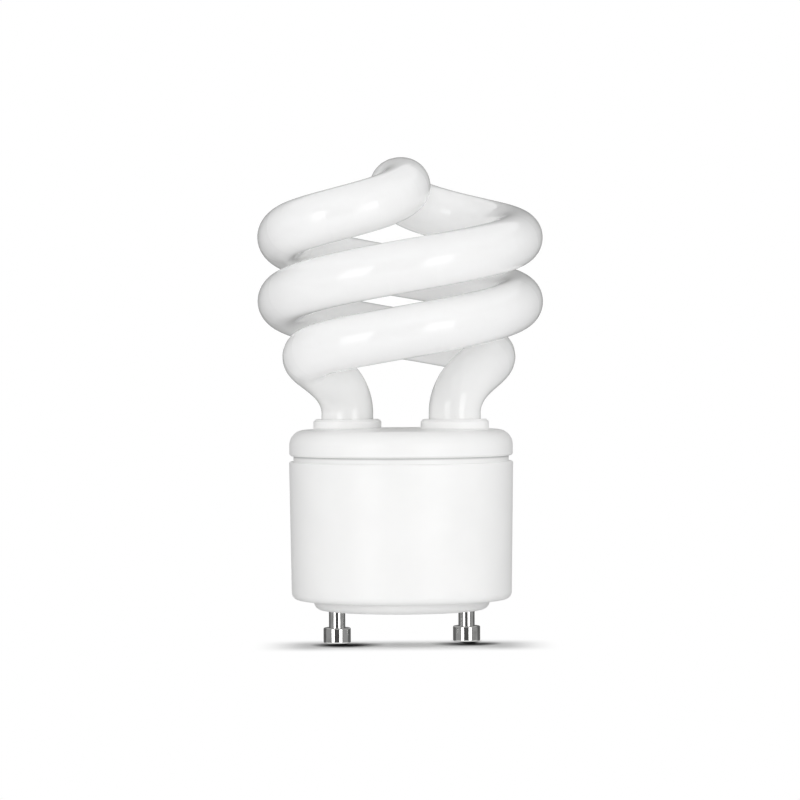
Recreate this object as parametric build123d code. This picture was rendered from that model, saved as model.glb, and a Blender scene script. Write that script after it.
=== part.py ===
from build123d import *
import math
import os

# Compact spiral lamp on a two-pin twist-lock base.
# Millimetres, +Z up, origin on the lamp's axis at the ends of the contact pins.

# Contact pins
pin_spacing = 24.0
pin_exposed = 6.0  # base face above the pin ends
pin_head_diameter = 5.0
pin_head_height = 2.8
pin_head_edge = 0.25
pin_shank_diameter = 3.0
pin_rivet_diameter = 4.6
pin_rivet_height = 0.7
pin_cup_depth = 2.0  # solder cup in the top of each pin

# Lower can, moulded in one with the base ring
can_diameter = 41.1  # at the rim
can_height = 25.3
can_draft = 0.85  # degrees a side
can_corner = 1.3
can_wall = 1.6
rim_edge = 0.3
base_ring_diameter = 32.6  # where it meets the can
base_ring_height = 1.9
base_ring_taper = 0.55  # a side
base_ring_round = 1.5
base_recess_wall = 3.2
floor_fillet = 0.8
boss_wall = 1.8
boss_height = 7.0  # above the base face
rib_count = 6
rib_width = 1.8
rib_overlap = 1.4  # under the edge of the board

# Upper cap
cap_diameter = 41.0
cap_height = 4.75
cap_crown = 0.3
cap_shoulder = 2.8
cap_wall = 1.6
seam_gap = 1.05  # shadow line between can and cap
seam_depth = 0.75
spigot_length = 4.8
spigot_wall = 1.4
snap_bead_radius = 0.45
snap_bead_stand = 0.35
collar_wall = 1.35
collar_height = 1.9
collar_bevel = 0.45
socket_depth = 3.6
socket_wall = 1.2

# Glass tube
tube_diameter = 9.5
coil_diameter = 52.3  # over the outside of the turns
strand_gap = 2.2  # between one strand's turn and the other's
coil_start_angle = 238.0  # where the first leg's strand joins the coil
coil_start_height = 14.2  # of that place above the collars
coil_sweep = 317.0  # turn of each strand before it leaves for the crossover
crossover_rise = 4.2  # climb of the crossover beyond the coil's own slope
crest_length = 4.0  # rounding of the crest
leg_spacing = 20.0
leg_angle = 162.0
leg_straight = 1.1  # above the collars
leg_overhang = 0.9  # below the sockets
leg_pull = 1.2  # handles of the bend from leg to coil, as shares of its chord
coil_pull = 2.28
coil_spans = 8
crossover_spans = 5
bend_spans = 5
cement_gap = 0.8

# Clearances
glass_clearance = 0.15
fit_clearance = 0.1
skin_clearance = 0.05
board_clearance = 0.25
hole_clearance = 0.15
edge_margin = 1.9  # board edge to the parts beside it

# Board, leads and posts
board_thickness = 1.6
lead_diameter = 0.6
lead_tail = 0.8  # above the board
standoff = 0.3  # parts below the board
post_width = 0.8
post_height = 3.0
post_spread = 24.0  # degrees either side of a leg
lead_wire_diameter = 0.5
lead_wire_pitch = 4.0  # two wires in one tube end
pin_wire_diameter = 0.8

# Parts on the board
capacitor_diameter = 8.0
capacitor_length = 13.0
capacitor_pitch = 3.5
capacitor_angle = 226.0
capacitor_bead = 0.35
capacitor_bead_height = 2.2
toroid_diameter = 9.0
toroid_hole = 5.0
toroid_height = 3.5
toroid_wire = 0.5
toroid_angle = 310.0
toroid_windings = 3
toroid_winding_arc = 55.0
toroid_lead_inset = 9.0  # degrees from a winding's end to its lead
choke_offset = 6.2
choke_width = 16.0
choke_height = 13.0
choke_depth = 5.0
choke_back = 2.4
choke_leg = 2.1
choke_post = 4.0
bobbin_wall = 0.7
bobbin_flange = 0.8
bobbin_flange_reach = 3.2
bobbin_pin_pitch = 8.0
winding_margin = 0.4
film_width = 7.5
film_depth = 4.0
film_height = 7.0
film_pitch = 5.0
film_round = 0.8
film_angle = 21.5
transistor_diameter = 4.8
transistor_flat = 1.4
transistor_height = 4.6
transistor_stand = 2.5
transistor_pitch = 1.6
transistor_offset = -0.75
transistor_rows = (-4.0, -10.0)
inductor_diameter = 5.0
inductor_hub = 2.4
inductor_height = 7.0
inductor_flange = 0.8
inductor_angle = 346.5
fuse_diameter = 3.2
fuse_length = 8.0
fuse_angle = 193.5
diode_diameter = 2.6
diode_length = 5.0
diode_angles = (66.0, 82.0, 98.0, 114.0)
resistor_diameter = 1.8
resistor_length = 4.0
small_row = -1.9
resistor_columns = (-9.2, -6.6, 6.8, 9.4)
trigger_column = 4.2
axial_drop = 1.5  # board to the top of an upright axial part
axial_tail = 0.8  # below it, before its lead turns back up
axial_gap = 0.35  # between its body and the returning lead
axial_round = 0.3
axial_flat = 0.02  # straight between the two bends of the returning lead

# Levels, from the pin ends up
base_z = pin_exposed
can_z = base_z + base_ring_height
rim_z = can_z + can_height
cap_z = rim_z + seam_gap
cap_top_z = cap_z + cap_height
collar_z = cap_top_z + collar_height
coil_z = collar_z + coil_start_height
recess_z = base_z + can_wall
floor_z = can_z + can_wall
boss_z = base_z + boss_height
rivet_z = boss_z + pin_rivet_height
spigot_z = rim_z - spigot_length
bead_z = rim_z - spigot_length / 2
board_top_z = spigot_z - fit_clearance
board_z = board_top_z - board_thickness
ceiling_z = cap_top_z - cap_wall
socket_z = ceiling_z - socket_depth
leg_end_z = socket_z - leg_overhang
leg_top_z = collar_z + leg_straight
part_top_z = board_z - standoff

# Radii that fits share
tube_radius = tube_diameter / 2
coil_radius = (coil_diameter - tube_diameter) / 2
coil_pitch = 2 * (tube_diameter + strand_gap)
coil_slope = coil_pitch / (2 * math.pi * coil_radius)


def can_radius(z):
    return can_diameter / 2 - (rim_z - z) * math.tan(math.radians(can_draft))


spigot_radius = can_radius(spigot_z) - can_wall - fit_clearance
board_radius = can_radius(board_z) - can_wall - board_clearance
collar_bore = tube_radius + glass_clearance
socket_bore = tube_radius + cement_gap


def polar(radius, angle):
    turn = math.radians(angle)
    return (radius * math.cos(turn), radius * math.sin(turn))


def rod(spot, bottom, top, radius):
    return Pos(spot[0], spot[1], (bottom + top) / 2) * Cylinder(radius, top - bottom)


def block(spot, bottom, top, width, depth):
    return Pos(spot[0], spot[1], (bottom + top) / 2) * Box(width, depth, top - bottom)


def lathe(points, radii):
    outline = FilletPolyline(*points, radius=radii, close=True)
    return revolve(Plane.XZ * make_face(outline), Axis.Z)


def wire_along(points, bend, diameter):
    path = FilletPolyline(*points, radius=bend)
    section = Plane(origin=path @ 0, z_dir=path % 0) * Circle(diameter / 2)
    return sweep(section, path=path)


def joined(solids):
    return Compound(children=[piece for solid in solids for piece in solid.solids()])


def save(name, shape):
    export_step(shape, f"parts/{name}.step")


# Where things stand in plan
leg_spots = [polar(leg_spacing / 2, leg_angle + half) for half in (0, 180)]
pin_spots = [(-pin_spacing / 2, 0.0), (pin_spacing / 2, 0.0)]
post_reach = board_radius - edge_margin - post_width
post_spots = [
    [polar(post_reach, leg_angle + half + side * post_spread) for side in (1, -1)]
    for half in (0, 180)
]


def beside_edge(diameter, angle):
    return polar(board_radius - edge_margin - diameter / 2, angle)


def pair(spot, pitch, angle=0.0):
    step = polar(pitch / 2, angle)
    return [(spot[0] - step[0], spot[1] - step[1]), (spot[0] + step[0], spot[1] + step[1])]


# Glass tube: legs, bends, two coil strands and the crossover, as stations joined by tangent arcs
def leg_station(z):
    return Vector(*leg_spots[0], z), Vector(0, 0, 1)


def coil_station(angle):
    turn = math.radians(angle)
    rise = coil_pitch * (angle - coil_start_angle) / 360
    point = Vector(*polar(coil_radius, angle), coil_z + rise)
    return point, Vector(-math.sin(turn), math.cos(turn), coil_slope).normalized()


def bend_station(share):
    start, up = leg_station(leg_top_z)
    end, along = coil_station(coil_start_angle)
    handle = (end - start).length / 3
    corners = [start, start + up * (leg_pull * handle), end - along * (coil_pull * handle), end]
    while len(corners) > 2:
        corners = [a * (1 - share) + b * share for a, b in zip(corners, corners[1:])]
    way = corners[1] - corners[0]
    return corners[0] * (1 - share) + corners[1] * share, way.normalized()


def crossover_station(turn):
    # a half circle in plan from the coil to the axis, climbing to a rounded crest
    leave, _ = coil_station(coil_start_angle + coil_sweep)
    centre = Vector(leave.X / 2, leave.Y / 2)
    angle = coil_start_angle + coil_sweep + turn
    plan = centre + Vector(*polar(coil_radius / 2, angle))
    full = math.pi * coil_radius / 2
    left = full * (1 - turn / 180)
    reach = math.hypot(left, crest_length)
    full_reach = math.hypot(full, crest_length)
    share = 1 - reach / full_reach
    z = leave.Z + coil_slope * (full_reach - reach) + crossover_rise * share**2
    climb = left / reach * (coil_slope + 2 * crossover_rise * share / full_reach)
    heading = math.radians(angle)
    return Vector(plan.X, plan.Y, z), Vector(-math.sin(heading), math.cos(heading), climb).normalized()


def arc_pair(start, start_way, end, end_way):
    # two tangent arcs between stations, with handles of equal length
    span = end - start
    spread = 2 * (1 - start_way.dot(end_way))
    along = 2 * span.dot(start_way + end_way)
    reach = span.dot(span)
    handle = 2 * reach / (along + math.sqrt(along**2 + 4 * spread * reach))
    middle = (start + start_way * handle + end - end_way * handle) * 0.5
    first = TangentArc(start, middle, tangent=start_way).edge()
    second = TangentArc(middle, end, tangent=first % 1).edge()
    return [first, second]


def spiral_tube():
    half = [bend_station(i / bend_spans) for i in range(bend_spans)]
    half += [coil_station(coil_start_angle + coil_sweep * i / coil_spans) for i in range(coil_spans)]
    half += [crossover_station(180 * i / crossover_spans) for i in range(crossover_spans + 1)]
    other = [
        (Vector(-point.X, -point.Y, point.Z), Vector(way.X, way.Y, -way.Z))
        for point, way in reversed(half[:-1])
    ]
    stations = half + other
    foot, _ = leg_station(leg_end_z)
    far_foot = Vector(-foot.X, -foot.Y, foot.Z)
    edges = [Line(foot, stations[0][0]).edge()]
    for here, there in zip(stations, stations[1:]):
        edges += arc_pair(*here, *there)
    edges.append(Line(stations[-1][0], far_foot).edge())
    path = Wire(edges)
    section = Plane(origin=foot, z_dir=(0, 0, 1)) * Circle(tube_radius)
    return sweep(section, path=path)


# Housing
def upper_cap():
    radius = cap_diameter / 2
    flat = radius - cap_shoulder
    land = radius - seam_depth
    inner = spigot_radius - spigot_wall
    dome = (flat**2 + cap_crown**2) / (2 * cap_crown)
    half_way = cap_top_z + cap_crown - dome + math.sqrt(dome**2 - flat**2 / 4)
    corner = cap_shoulder * math.sqrt(0.5)
    crown = ThreePointArc((0, cap_top_z + cap_crown), (flat / 2, half_way), (flat, cap_top_z))
    shoulder = ThreePointArc(
        (flat, cap_top_z),
        (flat + corner, cap_top_z - cap_shoulder + corner),
        (radius, cap_top_z - cap_shoulder),
    )
    rest = Polyline(
        (radius, cap_top_z - cap_shoulder),
        (radius, cap_z + rim_edge),
        (radius - rim_edge, cap_z),
        (land, cap_z),
        (land, rim_z),
        (spigot_radius, rim_z),
        (spigot_radius, spigot_z),
        (inner, spigot_z),
        (inner, ceiling_z),
        (0, ceiling_z),
        (0, cap_top_z + cap_crown),
    )
    cap = revolve(Plane.XZ * make_face(crown + shoulder + rest), Axis.Z)
    bead_centre = spigot_radius + snap_bead_stand - snap_bead_radius
    cap += Pos(0, 0, bead_z) * Torus(bead_centre, snap_bead_radius)
    for spot in leg_spots:
        collar = rod(spot, ceiling_z, collar_z, collar_bore + collar_wall)
        cap += chamfer(collar.edges().sort_by(Axis.Z)[-1], collar_bevel)
        cap += rod(spot, socket_z, ceiling_z, socket_bore + socket_wall)
    for spot in leg_spots:
        cap -= rod(spot, socket_z, collar_z, collar_bore)
        cap -= rod(spot, socket_z, ceiling_z, socket_bore)
    return cap


def lower_can():
    ring = base_ring_diameter / 2
    recess = ring - base_recess_wall
    points = [
        (0, base_z),
        (ring - base_ring_taper, base_z),
        (ring, can_z),
        (can_radius(can_z), can_z),
        (can_radius(rim_z), rim_z),
        (can_radius(rim_z) - can_wall, rim_z),
        (can_radius(floor_z) - can_wall, floor_z),
        (recess, floor_z),
        (recess, recess_z),
        (0, recess_z),
    ]
    can = lathe(points, [0, base_ring_round, 0, can_corner, rim_edge, 0, floor_fillet, 0, 0, 0])
    rib_inner = board_radius - rib_overlap
    rib_outer = can_radius(floor_z) - can_wall / 2
    for i in range(rib_count):
        middle = (rib_inner + rib_outer) / 2
        rib = block((middle, 0), floor_z, board_z, rib_outer - rib_inner, rib_width)
        can += Rot(0, 0, 360 * (i + 0.5) / rib_count) * rib
    for spot in pin_spots:
        can += rod(spot, recess_z, boss_z, pin_shank_diameter / 2 + boss_wall)
    for spot in pin_spots:
        can -= rod(spot, base_z, boss_z, pin_shank_diameter / 2 + skin_clearance)
    bead_centre = spigot_radius + snap_bead_stand - snap_bead_radius
    can -= Pos(0, 0, bead_z) * Torus(bead_centre, snap_bead_radius + fit_clearance)
    return can


def contact_pin(spot):
    head = pin_head_diameter / 2
    shank = pin_shank_diameter / 2
    rivet = pin_rivet_diameter / 2
    cup = pin_wire_diameter / 2 + skin_clearance
    points = [
        (0, 0),
        (head, 0),
        (head, pin_head_height),
        (shank, pin_head_height),
        (shank, boss_z),
        (rivet, boss_z),
        (rivet, rivet_z),
        (cup, rivet_z),
        (cup, rivet_z - pin_cup_depth),
        (0, rivet_z - pin_cup_depth),
    ]
    edge = pin_head_edge
    return Pos(*spot) * lathe(points, [0, edge, edge, 0, 0, 0, edge, 0, 0, 0])


def tube_cement():
    rings = []
    for spot in leg_spots:
        ring = rod(spot, socket_z, ceiling_z - skin_clearance, socket_bore - skin_clearance)
        rings.append(ring - rod(spot, socket_z, ceiling_z, tube_radius + skin_clearance))
    return joined(rings)


# Board and what it carries
def leads(spots, bottom):
    solid = Part()
    for spot in spots:
        solid += rod(spot, bottom, board_top_z + lead_tail, lead_diameter / 2)
    return solid


def hairpin(spot, diameter, length, away):
    # upright axial part: one lead straight up, the other turned back up beside the body
    top = board_z - axial_drop
    bottom = top - length
    back = return_spot(spot, diameter, away)
    bend = (math.dist(spot, back) - axial_flat) / 2
    turn_z = bottom - axial_tail - bend
    body = fillet(rod(spot, bottom, top, diameter / 2).edges(), axial_round)
    up = leads([spot], top)
    tail = board_top_z + lead_tail
    rises = [(*spot, bottom), (*spot, turn_z), (*back, turn_z), (*back, tail)]
    return body + up + wire_along(rises, bend, lead_diameter)


def return_spot(spot, diameter, away):
    step = polar(diameter / 2 + axial_gap + lead_diameter / 2, away)
    return (spot[0] + step[0], spot[1] + step[1])


capacitor_spot = beside_edge(capacitor_diameter, capacitor_angle)
capacitor_leads = pair(capacitor_spot, capacitor_pitch)


def electrolytic_capacitor():
    bottom = part_top_z - capacitor_length
    can = fillet(rod(capacitor_spot, bottom, part_top_z, capacitor_diameter / 2).edges(), capacitor_bead)
    crimp_z = part_top_z - capacitor_bead_height
    crimp = Torus(capacitor_diameter / 2 + capacitor_bead / 2, capacitor_bead)
    can -= Pos(*capacitor_spot, crimp_z) * crimp
    return can + leads(capacitor_leads, part_top_z)


toroid_spot = beside_edge(toroid_diameter + 2 * toroid_wire, toroid_angle)
toroid_top_z = part_top_z - toroid_wire - skin_clearance
toroid_mean = (toroid_diameter + toroid_hole) / 4
toroid_lead_angles = [
    toroid_angle + 360 * i / toroid_windings + side * (toroid_winding_arc / 2 - toroid_lead_inset)
    for i in range(toroid_windings)
    for side in (-1, 1)
]
toroid_leads = [
    (toroid_spot[0] + polar(toroid_mean, a)[0], toroid_spot[1] + polar(toroid_mean, a)[1])
    for a in toroid_lead_angles
]


def toroid_core():
    bottom = toroid_top_z - toroid_height
    ring = rod(toroid_spot, bottom, toroid_top_z, toroid_diameter / 2)
    return ring - rod(toroid_spot, bottom, toroid_top_z, toroid_hole / 2)


def toroid_windings_set():
    gap = skin_clearance
    width = (toroid_diameter - toroid_hole) / 2
    middle = Pos(toroid_mean, toroid_top_z - toroid_height / 2)
    outer = Rectangle(width + 2 * toroid_wire + 2 * gap, toroid_height + 2 * toroid_wire + 2 * gap)
    inner = Rectangle(width + 2 * gap, toroid_height + 2 * gap)
    section = Plane.XZ * (middle * (outer - inner))
    windings = []
    for i in range(toroid_windings):
        sector = revolve(section, Axis.Z, toroid_winding_arc)
        start = toroid_angle + 360 * i / toroid_windings - toroid_winding_arc / 2
        sector = Pos(*toroid_spot) * Rot(0, 0, start) * sector
        windings.append(sector + leads(toroid_leads[2 * i : 2 * i + 2], part_top_z - toroid_wire / 2))
    return joined(windings)


choke_spot = (0.0, choke_offset)
choke_top_z = part_top_z - bobbin_flange
choke_window = (choke_width - choke_post) / 2 - choke_leg
bobbin_width = choke_post + 2 * fit_clearance + 2 * bobbin_wall
bobbin_depth = choke_depth + 2 * fit_clearance + 2 * bobbin_wall
bobbin_span = choke_height - 2 * choke_back - 2 * fit_clearance
winding_reach = choke_window - fit_clearance - bobbin_wall - winding_margin
bobbin_pin_row = (choke_depth + bobbin_flange_reach) / 2
choke_leads = [
    spot
    for side in (-1, 1)
    for spot in pair((0.0, choke_offset + side * bobbin_pin_row), bobbin_pin_pitch)
]


def choke_core(upper):
    middle = choke_top_z - choke_height / 2
    end = choke_top_z if upper else choke_top_z - choke_height
    low, high = sorted((middle, end))
    core = block(choke_spot, low, high, choke_width, choke_depth)
    inner = end - choke_back if upper else end + choke_back
    window_low, window_high = sorted((middle, inner))
    for side in (-1, 1):
        x = side * (choke_post + choke_window) / 2
        core -= block((x, choke_offset), window_low, window_high, choke_window, choke_depth)
    return core


def choke_bobbin():
    middle = choke_top_z - choke_height / 2
    low = middle - bobbin_span / 2
    high = middle + bobbin_span / 2
    bobbin = block(choke_spot, low, high, bobbin_width, bobbin_depth)
    flange_width = choke_post + 2 * choke_window - 2 * fit_clearance
    flange_depth = choke_depth + 2 * bobbin_flange_reach
    for bottom in (low, high - bobbin_flange):
        bobbin += block(choke_spot, bottom, bottom + bobbin_flange, flange_width, flange_depth)
    hole_width = choke_post + 2 * fit_clearance
    hole_depth = choke_depth + 2 * fit_clearance
    bobbin -= block(choke_spot, low, high, hole_width, hole_depth)
    return bobbin + leads(choke_leads, high - bobbin_flange)


def choke_winding():
    middle = choke_top_z - choke_height / 2
    half = bobbin_span / 2 - bobbin_flange - skin_clearance
    inner_width = bobbin_width + 2 * skin_clearance
    inner_depth = bobbin_depth + 2 * skin_clearance
    outer_width = bobbin_width + 2 * winding_reach
    outer_depth = bobbin_depth + 2 * winding_reach
    coil = block(choke_spot, middle - half, middle + half, outer_width, outer_depth)
    coil = fillet(coil.edges().filter_by(Axis.Z), winding_reach)
    return coil - block(choke_spot, middle - half, middle + half, inner_width, inner_depth)


def film_spot(angle):
    # its outer corners stay inside the edge margin
    reach = math.sqrt((board_radius - edge_margin) ** 2 - film_width**2 / 4) - film_depth / 2
    return polar(reach, angle)


def film_capacitor(angle):
    spot = film_spot(angle)
    body = Box(film_depth, film_width, film_height)
    body = fillet(body.edges().filter_by(Axis.Z), film_round)
    body = Pos(*spot, part_top_z - film_height / 2) * Rot(0, 0, angle) * body
    return body + leads(pair(spot, film_pitch, angle + 90), part_top_z - film_round)


transistor_spots = [(transistor_offset, row) for row in transistor_rows]


def transistor_leads(spot):
    return [*pair(spot, 2 * transistor_pitch), spot]


def switching_transistor(spot):
    top = board_z - transistor_stand
    bottom = top - transistor_height
    flat_y = spot[1] - transistor_flat - transistor_diameter / 2
    body = rod(spot, bottom, top, transistor_diameter / 2)
    body -= block((spot[0], flat_y), bottom, top, transistor_diameter, transistor_diameter)
    return body + leads(transistor_leads(spot), top)


inductor_spot = beside_edge(inductor_diameter, inductor_angle)
inductor_leads = pair(inductor_spot, inductor_hub)


def filter_inductor_core():
    bottom = part_top_z - inductor_height
    core = rod(inductor_spot, bottom, part_top_z, inductor_hub / 2)
    for low in (bottom, part_top_z - inductor_flange):
        core += rod(inductor_spot, low, low + inductor_flange, inductor_diameter / 2)
    return core + leads(inductor_leads, part_top_z)


def filter_inductor_winding():
    bottom = part_top_z - inductor_height + inductor_flange + skin_clearance
    top = part_top_z - inductor_flange - skin_clearance
    coil = rod(inductor_spot, bottom, top, inductor_diameter / 2 - winding_margin)
    return coil - rod(inductor_spot, bottom, top, inductor_hub / 2 + skin_clearance)


fuse_spot = beside_edge(fuse_diameter, fuse_angle)
diode_spots = [beside_edge(diode_diameter, angle) for angle in diode_angles]
resistor_spots = [(column, small_row) for column in resistor_columns]
trigger_spot = (trigger_column, small_row)
axial_parts = [(fuse_spot, fuse_diameter, fuse_angle + 90)]
axial_parts += [(spot, diode_diameter, a + 90) for spot, a in zip(diode_spots, diode_angles)]
axial_parts += [(spot, resistor_diameter, 90.0) for spot in [*resistor_spots, trigger_spot]]


def circuit_board():
    board = rod((0, 0), board_z, board_top_z, board_radius)
    holes = [*capacitor_leads, *toroid_leads, *choke_leads, *inductor_leads]
    for angle in (film_angle, 180 - film_angle):
        holes += pair(film_spot(angle), film_pitch, angle + 90)
    for spot in transistor_spots:
        holes += transistor_leads(spot)
    for spot, diameter, away in axial_parts:
        holes += [spot, return_spot(spot, diameter, away)]
    for spot in holes:
        board -= rod(spot, board_z, board_top_z, lead_diameter / 2 + hole_clearance)
    for spot in pin_spots:
        board -= rod(spot, board_z, board_top_z, pin_wire_diameter / 2 + hole_clearance)
    slot = post_width + 2 * skin_clearance
    for spot in [*post_spots[0], *post_spots[1]]:
        board -= block(spot, board_z, board_top_z, slot, slot)
    return board


def wrap_posts():
    top = board_top_z + post_height
    spots = [*post_spots[0], *post_spots[1]]
    return joined([block(spot, board_z, top, post_width, post_width) for spot in spots])


def tube_lead_wires():
    wires = []
    wrap = post_width * math.sqrt(0.5) + lead_wire_diameter / 2 + skin_clearance
    turn_z = (leg_end_z + board_top_z) / 2
    for half, leg, posts in zip((0, 180), leg_spots, post_spots):
        for start, post in zip(pair(leg, lead_wire_pitch, leg_angle + half - 90), posts):
            reach = Vector(start[0] - post[0], start[1] - post[1]).normalized() * wrap
            end = (post[0] + reach.X, post[1] + reach.Y, turn_z)
            route = [(*start, leg_end_z), (*start, turn_z), end]
            run = wire_along(route, lead_wire_diameter, lead_wire_diameter)
            wires.append(run + Pos(*post, turn_z) * Torus(wrap, lead_wire_diameter / 2))
    return joined(wires)


def pin_lead_wires():
    start = rivet_z - pin_cup_depth + skin_clearance
    top = board_top_z + lead_tail
    return joined([rod(spot, start, top, pin_wire_diameter / 2) for spot in pin_spots])


os.makedirs("parts", exist_ok=True)
save("spiral_tube", spiral_tube())
save("upper_cap", upper_cap())
save("lower_can", lower_can())
save("contact_pin_left", contact_pin(pin_spots[0]))
save("contact_pin_right", contact_pin(pin_spots[1]))
save("tube_cement", tube_cement())
save("tube_lead_wires", tube_lead_wires())
save("wrap_posts", wrap_posts())
save("pin_lead_wires", pin_lead_wires())
save("circuit_board", circuit_board())
save("electrolytic_capacitor", electrolytic_capacitor())
save("toroid_core", toroid_core())
save("toroid_windings", toroid_windings_set())
save("choke_core_upper", choke_core(True))
save("choke_core_lower", choke_core(False))
save("choke_bobbin", choke_bobbin())
save("choke_winding", choke_winding())
save("resonant_capacitor", film_capacitor(film_angle))
save("blocking_capacitor", film_capacitor(180 - film_angle))
save("switching_transistor_rear", switching_transistor(transistor_spots[0]))
save("switching_transistor_front", switching_transistor(transistor_spots[1]))
save("filter_inductor_core", filter_inductor_core())
save("filter_inductor_winding", filter_inductor_winding())
save("fusible_resistor", hairpin(fuse_spot, fuse_diameter, fuse_length, fuse_angle + 90))
diodes = [hairpin(s, diode_diameter, diode_length, a + 90) for s, a in zip(diode_spots, diode_angles)]
save("rectifier_diodes", joined(diodes))
save("trigger_diode", hairpin(trigger_spot, resistor_diameter, resistor_length, 90.0))
resistors = [hairpin(spot, resistor_diameter, resistor_length, 90.0) for spot in resistor_spots]
save("bias_resistors", joined(resistors))
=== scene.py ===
import math

import bpy
from mathutils import Matrix, Vector


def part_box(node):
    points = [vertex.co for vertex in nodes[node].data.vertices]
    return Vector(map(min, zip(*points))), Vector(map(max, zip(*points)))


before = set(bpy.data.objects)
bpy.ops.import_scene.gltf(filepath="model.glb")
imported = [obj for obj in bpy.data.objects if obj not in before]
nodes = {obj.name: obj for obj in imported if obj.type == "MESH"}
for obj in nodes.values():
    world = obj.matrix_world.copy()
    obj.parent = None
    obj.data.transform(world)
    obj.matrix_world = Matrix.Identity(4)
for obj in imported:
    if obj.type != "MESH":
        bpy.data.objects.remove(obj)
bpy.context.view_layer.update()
mm = 0.001
print("frame loaded:", len(nodes), "nodes")


# Shader maths: a socket that takes part in plain arithmetic
class Value:
    def __init__(self, sheet, socket):
        self.sheet = sheet
        self.socket = socket

    def __add__(self, other):
        return self.sheet.maths("ADD", self, other)

    def __radd__(self, other):
        return self.sheet.maths("ADD", other, self)

    def __sub__(self, other):
        return self.sheet.maths("SUBTRACT", self, other)

    def __rsub__(self, other):
        return self.sheet.maths("SUBTRACT", other, self)

    def __mul__(self, other):
        return self.sheet.maths("MULTIPLY", self, other)

    def __rmul__(self, other):
        return self.sheet.maths("MULTIPLY", other, self)

    def __truediv__(self, other):
        return self.sheet.maths("DIVIDE", self, other)

    def __rtruediv__(self, other):
        return self.sheet.maths("DIVIDE", other, self)

    def __pow__(self, other):
        return self.sheet.maths("POWER", self, other)

    def __rpow__(self, other):
        return self.sheet.maths("POWER", other, self)

    def __gt__(self, other):
        return self.sheet.maths("GREATER_THAN", self, other)

    def __lt__(self, other):
        return self.sheet.maths("LESS_THAN", self, other)

    def __or__(self, other):  # the larger of two
        return self.sheet.maths("MAXIMUM", self, other)

    def __ror__(self, other):
        return self.sheet.maths("MAXIMUM", other, self)


# One sheet holds the nodes of a material, or of the world
class Sheet:
    def __init__(self, owner):
        owner.use_nodes = True
        self.owner = owner
        self.tree = owner.node_tree
        self.tree.nodes.clear()

    def pick(self, sockets, key):
        if isinstance(key, int):
            return sockets[key]
        return next(s for s in sockets if s.name == key and not s.is_unavailable)

    def node(self, kind, settings=None, sockets=None, output=0):
        made = self.tree.nodes.new(kind)
        for name, setting in (settings or {}).items():
            setattr(made, name, setting)
        for key, value in (sockets or {}).items():
            socket = self.pick(made.inputs, key)
            if isinstance(value, Value):
                self.tree.links.new(value.socket, socket)
            else:
                socket.default_value = value
        return Value(self, self.pick(made.outputs, output))

    def maths(self, operation, first, second=0.0):
        return self.node("ShaderNodeMath", {"operation": operation}, {0: first, 1: second})

    def place(self):  # a point on the piece, in millimetres of the lamp's own frame
        spot = self.node("ShaderNodeTexCoord", output="Object")
        return self.node("ShaderNodeVectorMath", {"operation": "SCALE"}, {0: spot, "Scale": 1 / mm})

    def axes(self, point):
        return [self.node("ShaderNodeSeparateXYZ", None, {0: point}, axis) for axis in "XYZ"]

    def stretch(self, point, x, y, z):
        return self.node("ShaderNodeVectorMath", {"operation": "MULTIPLY"}, {0: point, 1: [x, y, z]})

    def noise(self, point, size, detail=2.0):  # size of a patch in millimetres, result about 0.5
        inputs = {"Vector": point, "Scale": 1 / size, "Detail": detail}
        return self.node("ShaderNodeTexNoise", None, inputs, "Fac")

    def cells(self, point, size):  # distance to the nearest border, in cell sizes
        settings = {"feature": "DISTANCE_TO_EDGE"}
        return self.node("ShaderNodeTexVoronoi", settings, {"Vector": point, "Scale": 1 / size}, "Distance")

    def span(self, value, low, high, toLow=0.0, toHigh=1.0):
        inputs = {"Value": value, "From Min": low, "From Max": high, "To Min": toLow, "To Max": toHigh}
        return self.node("ShaderNodeMapRange", {"interpolation_type": "SMOOTHSTEP"}, inputs)

    def away(self, x, y):  # length of a flat step
        return (x * x + y * y) ** 0.5

    def wave(self, value, step):  # 0 in the groove, 1 on the crest
        turn = value * (2 * math.pi / step)
        return self.maths("SINE", turn) * 0.5 + 0.5

    def tint(self, mask, first, second):
        inputs = {"Factor": mask, "A": rgba(first), "B": rgba(second)}
        return self.node("ShaderNodeMix", {"data_type": "RGBA"}, inputs, "Result")

    def bump(self, height, depth):  # depth in millimetres for a height of 1
        inputs = {"Height": height, "Distance": depth * mm, "Strength": 1.0}
        return self.node("ShaderNodeBump", None, inputs)

    def principled(self, **inputs):
        sockets = {name.replace("_", " "): rgba(value) for name, value in inputs.items()}
        return self.node("ShaderNodeBsdfPrincipled", None, sockets)

    def surface(self, **inputs):
        self.close(self.principled(**inputs))
        return self.owner

    def close(self, shader, kind="ShaderNodeOutputMaterial"):
        made = self.tree.nodes.new(kind)
        self.tree.links.new(shader.socket, made.inputs["Surface"])


def rgba(value):
    return (*value, 1.0) if isinstance(value, tuple) and len(value) == 3 else value


def newSheet(name):
    return Sheet(bpy.data.materials.new(name))


def dress(material, *names):
    for name in names:
        piece = nodes[name]
        piece.data.materials.clear()
        piece.data.materials.append(material)
        for face in piece.data.polygons:
            face.use_smooth = True


def middle(name):  # of a node's box, in millimetres
    low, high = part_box(name)
    return [(a + b) / 2 / mm for a, b in zip(low, high)]


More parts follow.
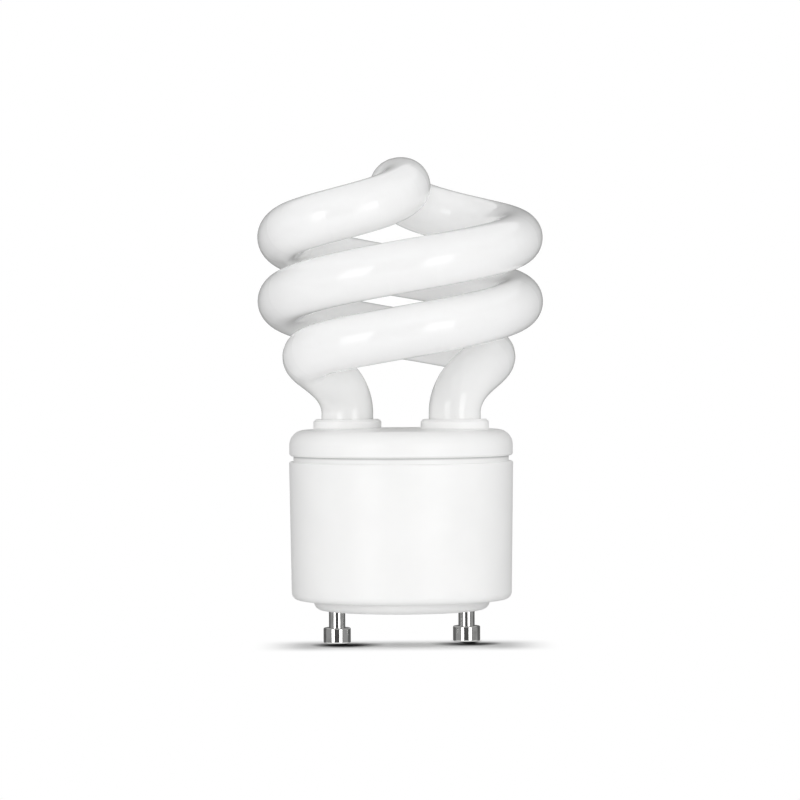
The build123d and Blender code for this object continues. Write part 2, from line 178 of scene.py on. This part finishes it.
# Milk-white glass: clear outside, powder coat inside
glassLook = {
    "coat": (0.98, 0.98, 0.975),
    "thinCoat": (0.965, 0.965, 0.96),
    "patch": 14.0,
    "patchLevels": (0.3, 0.75),
    "smearPatch": 14.0 / 3,
    "ripple": 9.0,
    "rippleDepth": 0.012,
    "gloss": 0.02,
    "smear": 0.02,
    "glow": 1.0,  # share of the light that spreads inside the wall
    "spread": 12.0 * mm,
    "footReach": 11.0,  # height above the collars over which the spread sets in
    "ior": 1.5,
}


def milkGlass(look):
    sheet = newSheet("milkGlass")
    point = sheet.place()
    cloud = sheet.span(sheet.noise(point, look["patch"], detail=3.0), *look["patchLevels"])
    smear = sheet.noise(point, look["smearPatch"])
    ripple = sheet.noise(point, look["ripple"], detail=1.0)
    skin = {
        "Base_Color": sheet.tint(cloud, look["coat"], look["thinCoat"]),
        "Roughness": look["gloss"] + smear * look["smear"],
        "Normal": sheet.bump(ripple, look["rippleDepth"]),
        "IOR": look["ior"],
    }
    spread = {
        "Subsurface_Weight": look["glow"],
        "Subsurface_Radius": [1.0, 1.0, 1.0],
        "Subsurface_Scale": look["spread"],
    }
    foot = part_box("upper_cap")[1][2] / mm
    share = sheet.span(sheet.axes(point)[2], foot, foot + look["footReach"])
    plain, glowing = sheet.principled(**skin), sheet.principled(**skin, **spread)
    sheet.close(sheet.node("ShaderNodeMixShader", None, {0: share, 1: plain, 2: glowing}))
    return sheet.owner


# Moulded housing, a satin skin from the mould
shellLook = {
    "skin": (0.92, 0.92, 0.915),
    "shade": (0.9, 0.9, 0.895),
    "patch": 9.0,
    "patchLevels": (0.3, 0.7),
    "grain": 0.16,
    "grainDepth": 0.004,
    "grainRoughness": 0.12,
    "roughness": 0.36,
    "ior": 1.5,
    "paintedLipShadow": (0.5, 0.5, 0.5),  # painted shadow in the groove under the cap's lip
    "seamGap": 1.05,
    # painted light: the collars are made paler than the skin, standing in for the light they catch
    "collar": (0.97, 0.97, 0.965),
    "collarFoot": 1.6,  # below the collars' tops
}


def satinShell(name, look):
    sheet = newSheet(name)
    point = sheet.place()
    flow = sheet.span(sheet.noise(point, look["patch"], detail=3.0), *look["patchLevels"])
    grain = sheet.noise(point, look["grain"])
    colour = sheet.tint(flow, look["skin"], look["shade"])
    z = sheet.axes(point)[2]
    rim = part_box("lower_can")[1][2] / mm
    lip = rim + look["seamGap"]
    # painted shadow: the groove darkens towards the cap's lip, where the lip's shade falls
    paintedGrooveShade = sheet.span(z, (rim + lip) / 2, lip) * (z < lip)
    colour = sheet.tint(paintedGrooveShade, colour, look["paintedLipShadow"])
    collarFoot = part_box("upper_cap")[1][2] / mm - look["collarFoot"]
    # painted light: everything above collarFoot takes the paler collar colour
    colour = sheet.tint(z > collarFoot, colour, look["collar"])
    return sheet.surface(
        Base_Color=colour,
        Roughness=look["roughness"] + (grain - 0.5) * look["grainRoughness"],
        Normal=sheet.bump(grain, look["grainDepth"]),
        IOR=look["ior"],
    )


# Nickel-plated pins with the rings of the lathe
pinLook = {
    "metal": (0.74, 0.74, 0.73),
    "dull": (0.6, 0.6, 0.59),
    "ring": 0.13,
    "ringAcross": 0.02,  # how little the rings change round the pin
    "ringDepth": 0.0008,
    "stain": 1.4,
    "stainLevels": (0.45, 0.75),
    "roughness": 0.04,
    "ringRoughness": 0.03,
    "stainRoughness": 0.04,
}


def turnedNickel(look):
    sheet = newSheet("turnedNickel")
    point = sheet.place()
    across = look["ringAcross"]
    rings = sheet.noise(sheet.stretch(point, across, across, 1.0), look["ring"])
    stain = sheet.span(sheet.noise(point, look["stain"], detail=3.0), *look["stainLevels"])
    return sheet.surface(
        Base_Color=sheet.tint(stain, look["metal"], look["dull"]),
        Metallic=1.0,
        Roughness=look["roughness"] + rings * look["ringRoughness"] + stain * look["stainRoughness"],
        Normal=sheet.bump(rings, look["ringDepth"]),
    )


dress(milkGlass(glassLook), "spiral_tube")
dress(satinShell("capShell", shellLook), "upper_cap")
dress(satinShell("canShell", shellLook), "lower_can")
dress(turnedNickel(pinLook), "contact_pin_left", "contact_pin_right")
print("outer pieces dressed")


# Cement round the tube ends
cementLook = {
    "paste": (0.8, 0.77, 0.7),
    "pore": (0.62, 0.58, 0.5),
    "poreLevels": (0.42, 0.6),
    "grit": 0.5,
    "gritDepth": 0.05,
    "roughness": 0.95,
    "pasteGloss": 0.12,
}


def porousCement(look):
    sheet = newSheet("porousCement")
    point = sheet.place()
    grit = sheet.noise(point, look["grit"], detail=4.0)
    paste = sheet.span(grit, *look["poreLevels"])
    return sheet.surface(
        Base_Color=sheet.tint(paste, look["pore"], look["paste"]),
        Roughness=look["roughness"] - paste * look["pasteGloss"],
        Normal=sheet.bump(grit, look["gritDepth"]),
    )


# Tinned copper wire, also on the leads of every part
tinLook = {
    "bright": (0.68, 0.68, 0.66),
    "grey": (0.5, 0.5, 0.48),
    "streak": 0.25,
    "streakAlong": 0.15,  # how little a streak changes along the wire
    "streakLevels": (0.4, 0.65),
    "roughness": 0.26,
    "streakRoughness": 0.2,
}


def tinSkin(sheet, point, look):
    streak = sheet.noise(sheet.stretch(point, 1.0, 1.0, look["streakAlong"]), look["streak"], detail=3.0)
    colour = sheet.tint(sheet.span(streak, *look["streakLevels"]), look["bright"], look["grey"])
    return colour, look["roughness"] + streak * look["streakRoughness"]


def tinnedWire(look):
    sheet = newSheet("tinnedWire")
    colour, roughness = tinSkin(sheet, sheet.place(), look)
    return sheet.surface(Base_Color=colour, Roughness=roughness, Metallic=1.0)


# Paper laminate board, with lacquered copper on its upper side
boardLook = {
    "paper": (0.5, 0.34, 0.16),
    "fibre": (0.38, 0.24, 0.1),
    "lacquer": (0.36, 0.3, 0.1),
    "track": (0.55, 0.36, 0.14),
    "land": 5.0,
    "gap": 0.07,
    "copperDepth": 0.05,
    "trackDepth": 0.03,
    "weave": 0.3,
    "weaveAlong": 0.2,  # how little a fibre changes along X
    "weaveLevels": (0.35, 0.65),
    "weaveDepth": 0.2,  # as a share of trackDepth
    "weaveRoughness": 0.1,
    "roughness": 0.6,
    "lacquerGloss": 0.3,
}


def paperBoard(look):
    sheet = newSheet("paperBoard")
    point = sheet.place()
    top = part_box("circuit_board")[1][2] / mm
    upper = sheet.axes(point)[2] > top - look["copperDepth"]
    fibre = sheet.noise(sheet.stretch(point, look["weaveAlong"], 1.0, 1.0), look["weave"], detail=4.0)
    paper = sheet.tint(sheet.span(fibre, *look["weaveLevels"]), look["paper"], look["fibre"])
    track = sheet.cells(sheet.stretch(point, 1.0, 1.0, 0.0), look["land"]) > look["gap"]
    copper = sheet.tint(track, look["lacquer"], look["track"])
    return sheet.surface(
        Base_Color=sheet.tint(upper, paper, copper),
        Roughness=look["roughness"] - upper * look["lacquerGloss"] + fibre * look["weaveRoughness"],
        Normal=sheet.bump(fibre * look["weaveDepth"] + upper * track, look["trackDepth"]),
    )


# Sintered ferrite, ground flat; the drive ring is painted
ferriteLook = {
    "bare": {"body": (0.055, 0.055, 0.06), "chip": (0.1, 0.1, 0.105), "roughness": 0.55},
    "painted": {"body": (0.03, 0.16, 0.1), "chip": (0.05, 0.22, 0.14), "roughness": 0.32},
    "grain": 0.12,
    "grainDepth": 0.01,
    "grainRoughness": 0.15,
    "cloud": 2.0,
    "cloudLevels": (0.4, 0.7),
}


def sinteredFerrite(name, look, finish):
    sheet = newSheet(name)
    point = sheet.place()
    skin = look[finish]
    grain = sheet.noise(point, look["grain"], detail=3.0)
    cloud = sheet.span(sheet.noise(point, look["cloud"], detail=3.0), *look["cloudLevels"])
    return sheet.surface(
        Base_Color=sheet.tint(cloud, skin["body"], skin["chip"]),
        Roughness=skin["roughness"] + grain * look["grainRoughness"],
        Normal=sheet.bump(grain, look["grainDepth"]),
    )


# Enamelled copper turns, side by side, with painted shade between them
copperLook = {
    "crest": (0.66, 0.27, 0.1),
    # painted shade: the colour is darkened in the grooves between turns
    "paintedGrooveShade": (0.22, 0.07, 0.02),
    "wire": 0.26,
    "depth": 0.07,
    "metallic": 0.85,
    "roughness": 0.2,
    "age": 1.5,
    "ageRoughness": 0.15,
    "enamel": 0.4,
}


def woundCopper(name, look, ring=None):
    sheet = newSheet(name)
    point = sheet.place()
    x, y, z = sheet.axes(point)
    along = z
    if ring:  # turns stand round a ring, so they are counted along its mean circle
        easting, northing = x - ring["x"], y - ring["y"]
        along = sheet.maths("ARCTAN2", northing, easting) * ring["radius"]
    turns = sheet.wave(along, look["wire"])
    age = sheet.noise(point, look["age"])
    return sheet.surface(
        # painted shade in the grooves between the turns, copper colour on their crests
        Base_Color=sheet.tint(turns, look["paintedGrooveShade"], look["crest"]),
        Metallic=look["metallic"],
        Roughness=look["roughness"] + age * look["ageRoughness"],
        Normal=sheet.bump(turns, look["depth"]),
        Coat_Weight=look["enamel"],
    )


# Bobbin of phenolic resin
bobbinLook = {
    "resin": (0.05, 0.045, 0.04),
    "flow": (0.085, 0.075, 0.065),
    "flowSize": 1.2,
    "flowUp": 0.3,  # how little the flow changes along Z
    "flowLevels": (0.4, 0.65),
    "flowDepth": 0.015,
    "flowRoughness": 0.2,
    "roughness": 0.4,
}


def bobbinResin(look):
    sheet = newSheet("bobbinResin")
    point = sheet.place()
    flow = sheet.noise(sheet.stretch(point, 1.0, 1.0, look["flowUp"]), look["flowSize"], detail=4.0)
    return sheet.surface(
        Base_Color=sheet.tint(sheet.span(flow, *look["flowLevels"]), look["resin"], look["flow"]),
        Roughness=look["roughness"] + flow * look["flowRoughness"],
        Normal=sheet.bump(flow, look["flowDepth"]),
    )


# Parts that hang from the board on their leads: body between two heights, metal elsewhere
# drop is the lead above the body, body is its height, and bands are shares of that from its top
coatGrain = {"size": 0.35, "levels": (0.35, 0.65), "roughness": 0.1, "depth": 0.01}
leadedLooks = {
    "sleevedCan": {
        "nodes": ["electrolytic_capacitor"],
        "drop": 0.3,
        "body": 13.0,
        "coat": (0.03, 0.035, 0.06),
        "mottle": (0.045, 0.05, 0.085),
        "roughness": 0.22,
        "stripe": (0.62, 0.64, 0.66),
        "stripeWide": 2.2,
    },
    "dippedFilm": {
        "nodes": ["resonant_capacitor", "blocking_capacitor"],
        "drop": 0.3,
        "body": 7.0,
        "coat": (0.34, 0.06, 0.03),
        "mottle": (0.42, 0.09, 0.05),
        "roughness": 0.16,
    },
    "mouldedSwitch": {
        "nodes": ["switching_transistor_rear", "switching_transistor_front"],
        "drop": 2.5,
        "body": 4.6,
        "coat": (0.03, 0.03, 0.032),
        "mottle": (0.05, 0.05, 0.05),
        "roughness": 0.6,
    },
    "mouldedDiode": {
        "nodes": ["rectifier_diodes"],
        "drop": 1.5,
        "body": 5.0,
        "coat": (0.035, 0.035, 0.037),
        "mottle": (0.055, 0.055, 0.055),
        "roughness": 0.5,
        "bands": [(0.14, 0.28, (0.6, 0.6, 0.58))],
    },
    "fuseCoat": {
        "nodes": ["fusible_resistor"],
        "drop": 1.5,
        "body": 8.0,
        "coat": (0.12, 0.26, 0.17),
        "mottle": (0.16, 0.32, 0.22),
        "roughness": 0.45,
        "bands": [
            (0.14, 0.21, (0.25, 0.1, 0.04)),
            (0.32, 0.39, (0.02, 0.02, 0.02)),
            (0.5, 0.57, (0.02, 0.02, 0.02)),
            (0.76, 0.83, (0.6, 0.42, 0.1)),
        ],
    },
    "biasCoat": {
        "nodes": ["bias_resistors"],
        "drop": 1.5,
        "body": 4.0,
        "coat": (0.56, 0.42, 0.24),
        "mottle": (0.64, 0.5, 0.3),
        "roughness": 0.38,
        "bands": [
            (0.12, 0.21, (0.7, 0.32, 0.03)),
            (0.32, 0.41, (0.7, 0.32, 0.03)),
            (0.52, 0.61, (0.04, 0.28, 0.08)),
            (0.78, 0.87, (0.6, 0.42, 0.1)),
        ],
    },
    "triggerGlass": {
        "nodes": ["trigger_diode"],
        "drop": 1.5,
        "body": 4.0,
        "coat": (0.06, 0.2, 0.5),
        "mottle": (0.09, 0.27, 0.58),
        "roughness": 0.08,
        "bands": [(0.42, 0.58, (0.02, 0.02, 0.02))],
    },
}


def leadedPart(name, look):
    sheet = newSheet(name)
    point = sheet.place()
    x, y, z = sheet.axes(point)
    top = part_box("circuit_board")[0][2] / mm - look["drop"]
    bottom = top - look["body"]
    grain = sheet.noise(point, coatGrain["size"], detail=3.0)
    colour = sheet.tint(sheet.span(grain, *coatGrain["levels"]), look["coat"], look["mottle"])
    for start, end, shade in look.get("bands", []):
        inside = (z < top - look["body"] * start) * (z > top - look["body"] * end)
        colour = sheet.tint(inside, colour, shade)
    if "stripe" in look:  # down the side that faces the middle of the lamp
        east, north, _ = middle(look["nodes"][0])
        reach = math.hypot(east, north)
        inward = (x - east) * (-east / reach) + (y - north) * (-north / reach)
        sideways = (x - east) * (-north / reach) + (y - north) * (east / reach)
        facing = (inward > 0.0) * (sideways * sideways < (look["stripeWide"] / 2) ** 2)
        colour = sheet.tint(facing, colour, look["stripe"])
    metal, polish = tinSkin(sheet, point, tinLook)
    lead = (z > top) | (z < bottom)
    return sheet.surface(
        Base_Color=sheet.tint(lead, colour, metal),
        Metallic=lead,
        Roughness=(look["roughness"] + grain * coatGrain["roughness"]) * (1 - lead) + polish * lead,
        Normal=sheet.bump(grain, coatGrain["depth"]),
    )


ringSpot = middle("toroid_core")
driveRing = {"x": ringSpot[0], "y": ringSpot[1], "radius": 3.5}  # radius of its mean circle
dress(porousCement(cementLook), "tube_cement")
dress(tinnedWire(tinLook), "tube_lead_wires", "wrap_posts", "pin_lead_wires")
dress(paperBoard(boardLook), "circuit_board")
bareFerrite = sinteredFerrite("bareFerrite", ferriteLook, "bare")
dress(bareFerrite, "choke_core_upper", "choke_core_lower", "filter_inductor_core")
dress(sinteredFerrite("paintedFerrite", ferriteLook, "painted"), "toroid_core")
dress(woundCopper("stackedTurns", copperLook), "choke_winding", "filter_inductor_winding")
dress(woundCopper("ringTurns", copperLook, driveRing), "toroid_windings")
dress(bobbinResin(bobbinLook), "choke_bobbin")
for name, look in leadedLooks.items():
    dress(leadedPart(name, look), *look["nodes"])
print("inner pieces dressed")


# Studio: a white tent with soft fills, soft boxes that show in the gloss, dark flags beside and behind them
viewTurn = 8.0  # degrees that the camera stands to the left of the pins' front
floorLook = {
    "white": 0.8,
    "gain": 1.12,  # lifts the mat where it is seen, so that it meets the white room
    "aside": 0.8 * mm,  # the mat's middle, from the lamp's axis
    "middle": -8.9 * mm,
    "wide": 28.0 * mm,  # half sizes of the mat
    "deep": 14.6 * mm,
    "wideCore": 0.55,  # shares of them before the fade
    "deepCore": 0.15,
    "spots": {  # darkest places, a little in front of the pins
        "contact_pin_left": (-10.6 * mm, -7.0 * mm),
        "contact_pin_right": (12.4 * mm, -4.6 * mm),
    },
    "pinInner": 2.2 * mm,  # round a spot: full shade inside, none outside
    "pinOuter": 8.4 * mm,
    "pinShade": 0.98,
    "footInner": 0.8 * mm,  # the same beside the line from a pin's foot to its spot
    "footOuter": 4.2 * mm,
    "footShade": 0.72,
    "sideShade": 0.3,  # towards the ends of the shadow
    "sideStart": 10.0 * mm,
    "sideEnd": 19.0 * mm,
}
worldLook = {"ambient": 0.56}  # what the white room gives to matt surfaces
fills = {
    "fillLeft": {"azimuth": -78, "elevation": 8, "distance": 0.7,
                 "width": 0.3, "height": 0.4, "watts": 0.9},
    "fillRight": {"azimuth": 78, "elevation": 8, "distance": 0.7,
                  "width": 0.3, "height": 0.4, "watts": 1.0},
    "fillRear": {"azimuth": 180, "elevation": 8, "distance": 0.8,
                 "width": 0.5, "height": 0.5, "watts": 1.6},
    "fillBelow": {"azimuth": 0, "elevation": -40, "distance": 0.7,
                  "width": 0.5, "height": 0.4, "watts": 0.57},
    "fillAbove": {"azimuth": 0, "elevation": 45, "distance": 0.7,
                  "width": 0.5, "height": 0.3, "watts": 0.55},
    "fillFront": {"azimuth": 0, "elevation": 2, "distance": 0.7,
                  "width": 0.2, "height": 0.2, "watts": 1.08},
}
cards = {
    "boxLeft": {"start": -46, "end": -23, "reach": 0.6,
                "bottom": -0.07, "top": 0.27, "glow": 2.95},
    "boxRight": {"start": 19, "end": 43, "reach": 0.6,
                 "bottom": -0.07, "top": 0.27, "glow": 2.95},
    "flagLeft": {"start": -105, "end": -49, "reach": 0.45,
                 "bottom": -0.45, "top": 0.4, "glow": 0.35, "fade": 0.37},
    "flagRight": {"start": 46, "end": 105, "reach": 0.45,
                  "bottom": -0.45, "top": 0.4, "glow": 0.35, "fade": 0.37},
    "flagRear": {"start": 105, "end": 255, "reach": 0.45,
                 "bottom": -0.45, "top": 0.4, "glow": 0.15, "fade": 0.37},
    "flagFront": {"start": -52, "end": 49, "reach": 0.9,
                  "bottom": -0.2, "top": 0.6, "glow": 0.1},
}
lampMiddle = Vector((0, 0, 55.0 * mm))


def towards(azimuth, elevation=0.0):  # azimuth 0 is the camera's side
    a = math.radians(azimuth - viewTurn)
    e = math.radians(elevation)
    return Vector((math.sin(a) * math.cos(e), -math.cos(a) * math.cos(e), math.sin(e)))


def seenRays(sheet):
    rays = [sheet.node("ShaderNodeLightPath", None, None, name)
            for name in ("Is Camera Ray", "Is Glossy Ray", "Is Transmission Ray")]
    return rays[0] | rays[1] | rays[2]


def litWorld(look):
    world = bpy.data.worlds.new("studio")
    bpy.context.scene.world = world
    sheet = Sheet(world)
    level = look["ambient"]
    dim = sheet.node("ShaderNodeBackground", None, {"Color": (level, level, level, 1.0)})
    white = sheet.node("ShaderNodeBackground", None, {"Color": (1.0, 1.0, 1.0, 1.0)})
    mixed = sheet.node("ShaderNodeMixShader", None, {0: seenRays(sheet), 1: dim, 2: white})
    sheet.close(mixed, "ShaderNodeOutputWorld")


def meshObject(name, points, faces):
    mesh = bpy.data.meshes.new(name)
    mesh.from_pydata(points, [], faces)
    made = bpy.data.objects.new(name, mesh)
    bpy.context.scene.collection.objects.link(made)
    return made


def paleFloor(look):  # a small mat under the lamp that fades into the white room
    corners = [(-1, -1), (1, -1), (1, 1), (-1, 1)]
    mat = [(look["aside"] + look["wide"] * i, look["middle"] + look["deep"] * j, 0.0) for i, j in corners]
    floor = meshObject("floor", mat, [(0, 1, 2, 3)])
    sheet = newSheet("paleFloor")
    seen = seenRays(sheet)
    x, y, _ = sheet.axes(sheet.node("ShaderNodeTexCoord", output="Object"))
    across = sheet.maths("ABSOLUTE", x - look["aside"])
    along = sheet.maths("ABSOLUTE", y - look["middle"])
    nearness = sheet.span(across, look["wide"] * look["wideCore"], look["wide"], 1.0, 0.0)
    nearness = nearness * sheet.span(along, look["deep"] * look["deepCore"], look["deep"], 1.0, 0.0)
    shade = sheet.span(across, look["sideStart"], look["sideEnd"], 0.0, look["sideShade"])
    for name, spot in look["spots"].items():
        spotAway = sheet.away(x - spot[0], y - spot[1])
        shade = shade | sheet.span(spotAway, look["pinInner"], look["pinOuter"], look["pinShade"], 0.0)
        foot = Matrix.Rotation(math.radians(viewTurn), 2) @ Vector(middle(name)[:2]) * mm
        step = Vector(spot) - foot
        fromFoot = [x - foot.x, y - foot.y]
        share = (fromFoot[0] * step.x + fromFoot[1] * step.y) / step.length_squared
        share = sheet.node("ShaderNodeClamp", None, {"Value": share})
        trailAway = sheet.away(fromFoot[0] - share * step.x, fromFoot[1] - share * step.y)
        trail = sheet.span(trailAway, look["footInner"], look["footOuter"], 1.0, 0.0)
        nearness = nearness | trail
        shade = shade | trail * look["footShade"]
    plain = look["white"]
    bright = plain * look["gain"]
    ground = sheet.tint(shade, (bright, bright, bright), (0.0, 0.0, 0.0))
    colour = sheet.tint(seen, (plain, plain, plain), ground)
    lit = sheet.node("ShaderNodeBsdfDiffuse", None, {"Color": colour})
    room = sheet.tint(seen, (0.0, 0.0, 0.0), (1.0, 1.0, 1.0))
    glow = sheet.node("ShaderNodeEmission", None, {"Color": room})
    sheet.close(sheet.node("ShaderNodeMixShader", None, {0: nearness | (1 - seen), 1: glow, 2: lit}))
    floor.data.materials.append(sheet.owner)
    floor.rotation_euler.z = math.radians(-viewTurn)
    floor.visible_glossy = False


def softFill(name, look):
    light = bpy.data.lights.new(name, "AREA")
    light.shape = "RECTANGLE"
    light.size = look["width"]
    light.size_y = look["height"]
    light.energy = look["watts"]
    box = bpy.data.objects.new(name, light)
    out = towards(look["azimuth"], look["elevation"])
    box.location = lampMiddle + out * look["distance"]
    box.rotation_mode = "QUATERNION"
    box.rotation_quaternion = (-out).to_track_quat("-Z", "Y")
    box.visible_camera = False
    box.visible_glossy = False
    bpy.context.scene.collection.objects.link(box)


def glossCard(name, look, steps=16):  # a curved card that only shows in reflections
    points = []
    for i in range(steps + 1):
        side = look["start"] + (look["end"] - look["start"]) * i / steps
        foot = towards(side) * look["reach"]
        points += [(foot.x, foot.y, look["bottom"]), (foot.x, foot.y, look["top"])]
    faces = [(2 * i, 2 * i + 2, 2 * i + 3, 2 * i + 1) for i in range(steps)]
    card = meshObject(name, points, faces)
    sheet = newSheet(name)
    glow = look["glow"]
    colour = (glow, glow, glow, 1.0)
    if "fade" in look:  # from white at the foot to the card's own level
        height = sheet.axes(sheet.node("ShaderNodeTexCoord", output="Object"))[2]
        lift = sheet.span(height, look["bottom"], look["bottom"] + look["fade"])
        colour = sheet.tint(lift, (1.0, 1.0, 1.0), (glow, glow, glow))
    sheet.close(sheet.node("ShaderNodeEmission", None, {"Color": colour}))
    card.data.materials.append(sheet.owner)
    card.visible_camera = False
    card.visible_diffuse = False
    card.visible_shadow = False


litWorld(worldLook)
paleFloor(floorLook)
for name, look in fills.items():
    softFill(name, look)
for name, look in cards.items():
    glossCard(name, look)
print("studio lit")


# Camera, as the photograph was taken
photoView = {
    "frame": 800,  # pixels
    "pixelsPerMm": 5.45,
    "distance": 0.7,
    "eyeHeight": 54.0 * mm,
    "aimHeight": 44.4 * mm,
    "sideShift": -0.15 * mm,
    "roll": 0.3,
    "sensor": 36.0,
    "clipStart": 0.01,
}


def photoCamera(look):
    data = bpy.data.cameras.new("photoCamera")
    camera = bpy.data.objects.new("photoCamera", data)
    bpy.context.scene.collection.objects.link(camera)
    aside = towards(90) * look["sideShift"]
    eye = towards(0) * look["distance"] + aside + Vector((0, 0, look["eyeHeight"]))
    aim = aside + Vector((0, 0, look["aimHeight"]))
    span = (aim - eye).length
    data.sensor_width = look["sensor"]
    data.lens = look["sensor"] * look["pixelsPerMm"] * span / mm / look["frame"]
    turn = (aim - eye).to_track_quat("-Z", "Y").to_matrix().to_4x4()
    roll = Matrix.Rotation(math.radians(-look["roll"]), 4, "Z")
    camera.matrix_world = Matrix.Translation(eye) @ turn @ roll
    data.clip_start = look["clipStart"]
    bpy.context.scene.camera = camera


photoCamera(photoView)
bpy.context.scene.view_settings.view_transform = "Standard"
print("camera set")
